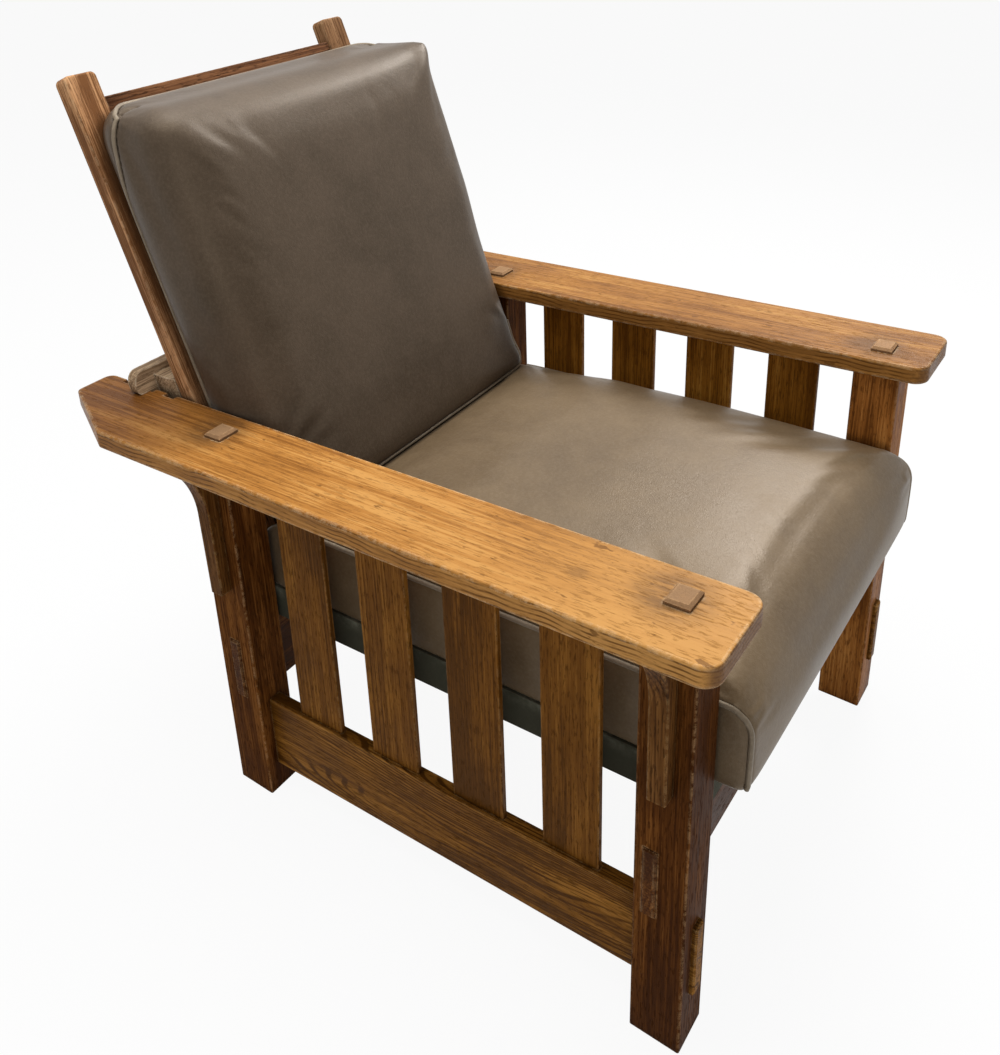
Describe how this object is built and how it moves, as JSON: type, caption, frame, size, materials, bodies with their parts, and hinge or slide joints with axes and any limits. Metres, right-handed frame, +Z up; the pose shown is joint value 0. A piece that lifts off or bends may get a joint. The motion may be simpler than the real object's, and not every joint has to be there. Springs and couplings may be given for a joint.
{
  "type": "mission reclining armchair",
  "caption": "Oak armchair with slatted sides, through-tenoned flat arms, loose leather cushions and a hinged back that leans on a bar in notches.",
  "frame": {"origin": "centre of the bounding box at floor level, between the four feet", "axes": "+Z up, the chair faces -Y, +X to the right of someone who looks at its back along +Y from the front; the near arm of the picture is on -X"},
  "size_m": [0.8, 0.9957, 0.9579],
  "materials": {
    "oak_post": "satin",
    "oak_arm": "satin",
    "oak_slat": "satin",
    "frame_wood": "matte",
    "leather": "satin",
    "cover_cloth": "matte",
    "webbing": "matte",
    "steel": "brushed"
  },
  "bodies": {
    "base": {"arm_left": "oak_arm", "arm_right": "oak_arm", "corbel_front_left": "oak_post", "corbel_front_right": "oak_post", "corbel_rear_left": "oak_post", "corbel_rear_right": "oak_post", "front_rail": "oak_post", "pivot_pin_left": "steel", "pivot_pin_right": "steel", "pivot_spacer_left": "steel", "pivot_spacer_right": "steel", "platform_cover": "cover_cloth", "post_front_left": "oak_post", "post_front_right": "oak_post", "post_rear_left": "oak_post", "post_rear_right": "oak_post", "rear_rail": "oak_post", "seat_corner_blocks": "frame_wood", "seat_cushion": "leather", "seat_frame_front": "frame_wood", "seat_frame_left": "frame_wood", "seat_frame_rear": "frame_wood", "seat_frame_right": "frame_wood", "side_rail_left": "oak_post", "side_rail_right": "oak_post", "slat_left_1": "oak_slat", "slat_left_2": "oak_slat", "slat_left_3": "oak_slat", "slat_left_4": "oak_slat", "slat_right_1": "oak_slat", "slat_right_2": "oak_slat", "slat_right_3": "oak_slat", "slat_right_4": "oak_slat", "webbing_crosswise": "webbing", "webbing_lengthwise": "webbing"},
    "back": {"back_cushion": "leather", "back_slat_1": "oak_post", "back_slat_2": "oak_post", "back_slat_3": "oak_post", "back_slat_4": "oak_post", "back_stile_left": "oak_post", "back_stile_right": "oak_post", "top_rail": "oak_post"},
    "bar": {"support_bar": "oak_post"}
  },
  "joints": [
    {"name": "back_recline", "type": "hinge", "parent": "base", "child": "back", "pos_m": [0, 0.2018, 0.28425], "axis": [1, 0, 0], "range_deg": [0, 9]},
    {"name": "support_bar_lift", "type": "slide", "parent": "base", "child": "bar", "axis": [0, 0.3915, 0.9202], "range_m": [0, 0.1]}
  ]
}
